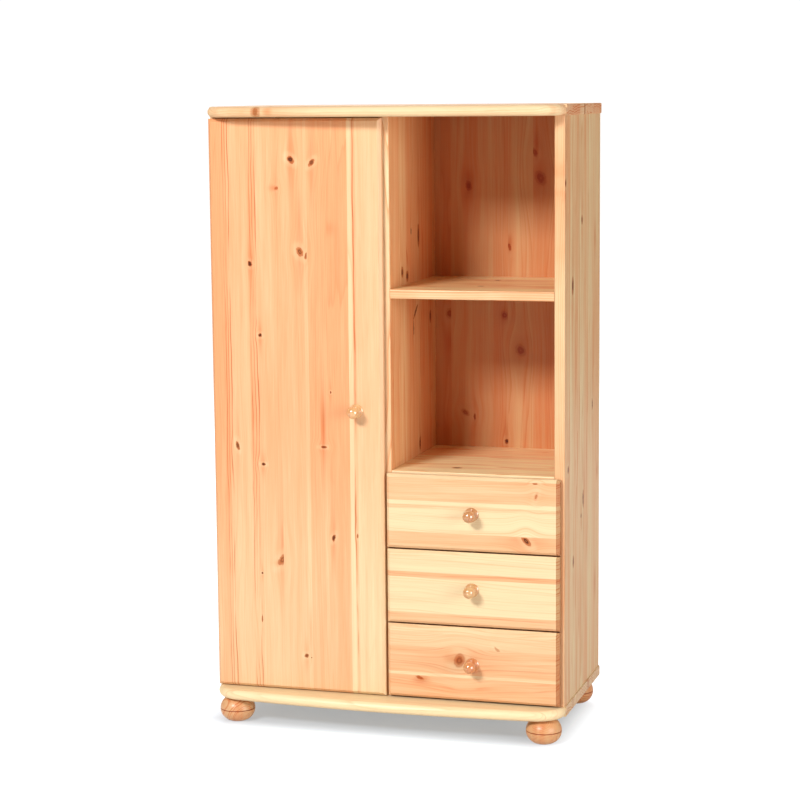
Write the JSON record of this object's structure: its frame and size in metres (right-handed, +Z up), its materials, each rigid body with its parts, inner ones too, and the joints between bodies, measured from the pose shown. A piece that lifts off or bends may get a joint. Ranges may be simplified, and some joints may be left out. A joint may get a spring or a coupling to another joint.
{
  "type": "combination cabinet",
  "caption": "Tall free-standing pine cabinet with a full-height door on the left, open niches above drawers on the right, bowed top and bottom boards, ball knobs and round turned feet.",
  "frame": {"origin": "on the floor, under the middle of the cabinet's overall width and depth", "axes": "+Z up, -Y towards the front with the door and drawers, +X towards the side with the drawers"},
  "size_m": [0.868, 0.48, 1.49],
  "materials": {
    "lacquered_pine": "knotty pine staves under clear satin lacquer",
    "turned_pine": "turned pine under clear gloss lacquer",
    "plain_pine": "planed pine, thinly sealed",
    "stained_plywood": "thin plywood with a stained pine face",
    "beech": "planed beech",
    "zinc_steel": "bright zinc plate",
    "cast_zinc": "die-cast, dull grey",
    "catch_plastic": "cream moulding with two steel poles"
  },
  "bodies": {
    "carcass": {"top_board": "lacquered_pine", "bottom_board": "lacquered_pine", "left_side": "lacquered_pine", "right_side": "lacquered_pine", "partition": "lacquered_pine", "niche_shelf": "lacquered_pine", "niche_floor": "lacquered_pine", "left_back_panel": "stained_plywood", "right_back_panel": "stained_plywood", "upper_inner_shelf": "plain_pine", "middle_inner_shelf": "plain_pine", "lower_inner_shelf": "plain_pine", "shelf_pins": "zinc_steel", "front_left_foot": "turned_pine", "front_right_foot": "turned_pine", "back_left_foot": "turned_pine", "back_right_foot": "turned_pine", "foot_screws": "zinc_steel", "carcass_dowels": "beech", "cam_bolts": "zinc_steel", "cam_locks": "cast_zinc", "back_nails": "zinc_steel", "top_runners": "beech", "middle_runners": "beech", "bottom_runners": "beech", "carcass_screws": "zinc_steel", "upper_hinge_arm": "zinc_steel", "middle_hinge_arm": "zinc_steel", "lower_hinge_arm": "zinc_steel", "magnet_catch": "catch_plastic"},
    "door": {"door_panel": "lacquered_pine", "door_knob": "turned_pine", "door_knob_screw": "zinc_steel", "upper_hinge_cup": "zinc_steel", "middle_hinge_cup": "zinc_steel", "lower_hinge_cup": "zinc_steel", "hinge_pins": "zinc_steel", "door_screws": "zinc_steel", "catch_plate": "zinc_steel"},
    "top_drawer": {"top_drawer_front": "lacquered_pine", "top_drawer_left_side": "plain_pine", "top_drawer_right_side": "plain_pine", "top_drawer_back": "plain_pine", "top_drawer_bottom": "stained_plywood", "top_drawer_knob": "turned_pine", "top_drawer_knob_screw": "zinc_steel"},
    "middle_drawer": {"middle_drawer_front": "lacquered_pine", "middle_drawer_left_side": "plain_pine", "middle_drawer_right_side": "plain_pine", "middle_drawer_back": "plain_pine", "middle_drawer_bottom": "stained_plywood", "middle_drawer_knob": "turned_pine", "middle_drawer_knob_screw": "zinc_steel"},
    "bottom_drawer": {"bottom_drawer_front": "lacquered_pine", "bottom_drawer_left_side": "plain_pine", "bottom_drawer_right_side": "plain_pine", "bottom_drawer_back": "plain_pine", "bottom_drawer_bottom": "stained_plywood", "bottom_drawer_knob": "turned_pine", "bottom_drawer_knob_screw": "zinc_steel"}
  },
  "joints": [
    {"name": "door_hinge", "type": "hinge", "parent": "carcass", "child": "door", "pos_m": [-0.422, -0.171, 0.775], "axis": [0, 0, -1], "range_deg": [0, 100]},
    {"name": "top_drawer_slide", "type": "slide", "parent": "carcass", "child": "top_drawer", "axis": [0, -1, 0], "range_m": [0, 0.27]},
    {"name": "middle_drawer_slide", "type": "slide", "parent": "carcass", "child": "middle_drawer", "axis": [0, -1, 0], "range_m": [0, 0.27]},
    {"name": "bottom_drawer_slide", "type": "slide", "parent": "carcass", "child": "bottom_drawer", "axis": [0, -1, 0], "range_m": [0, 0.27]}
  ]
}
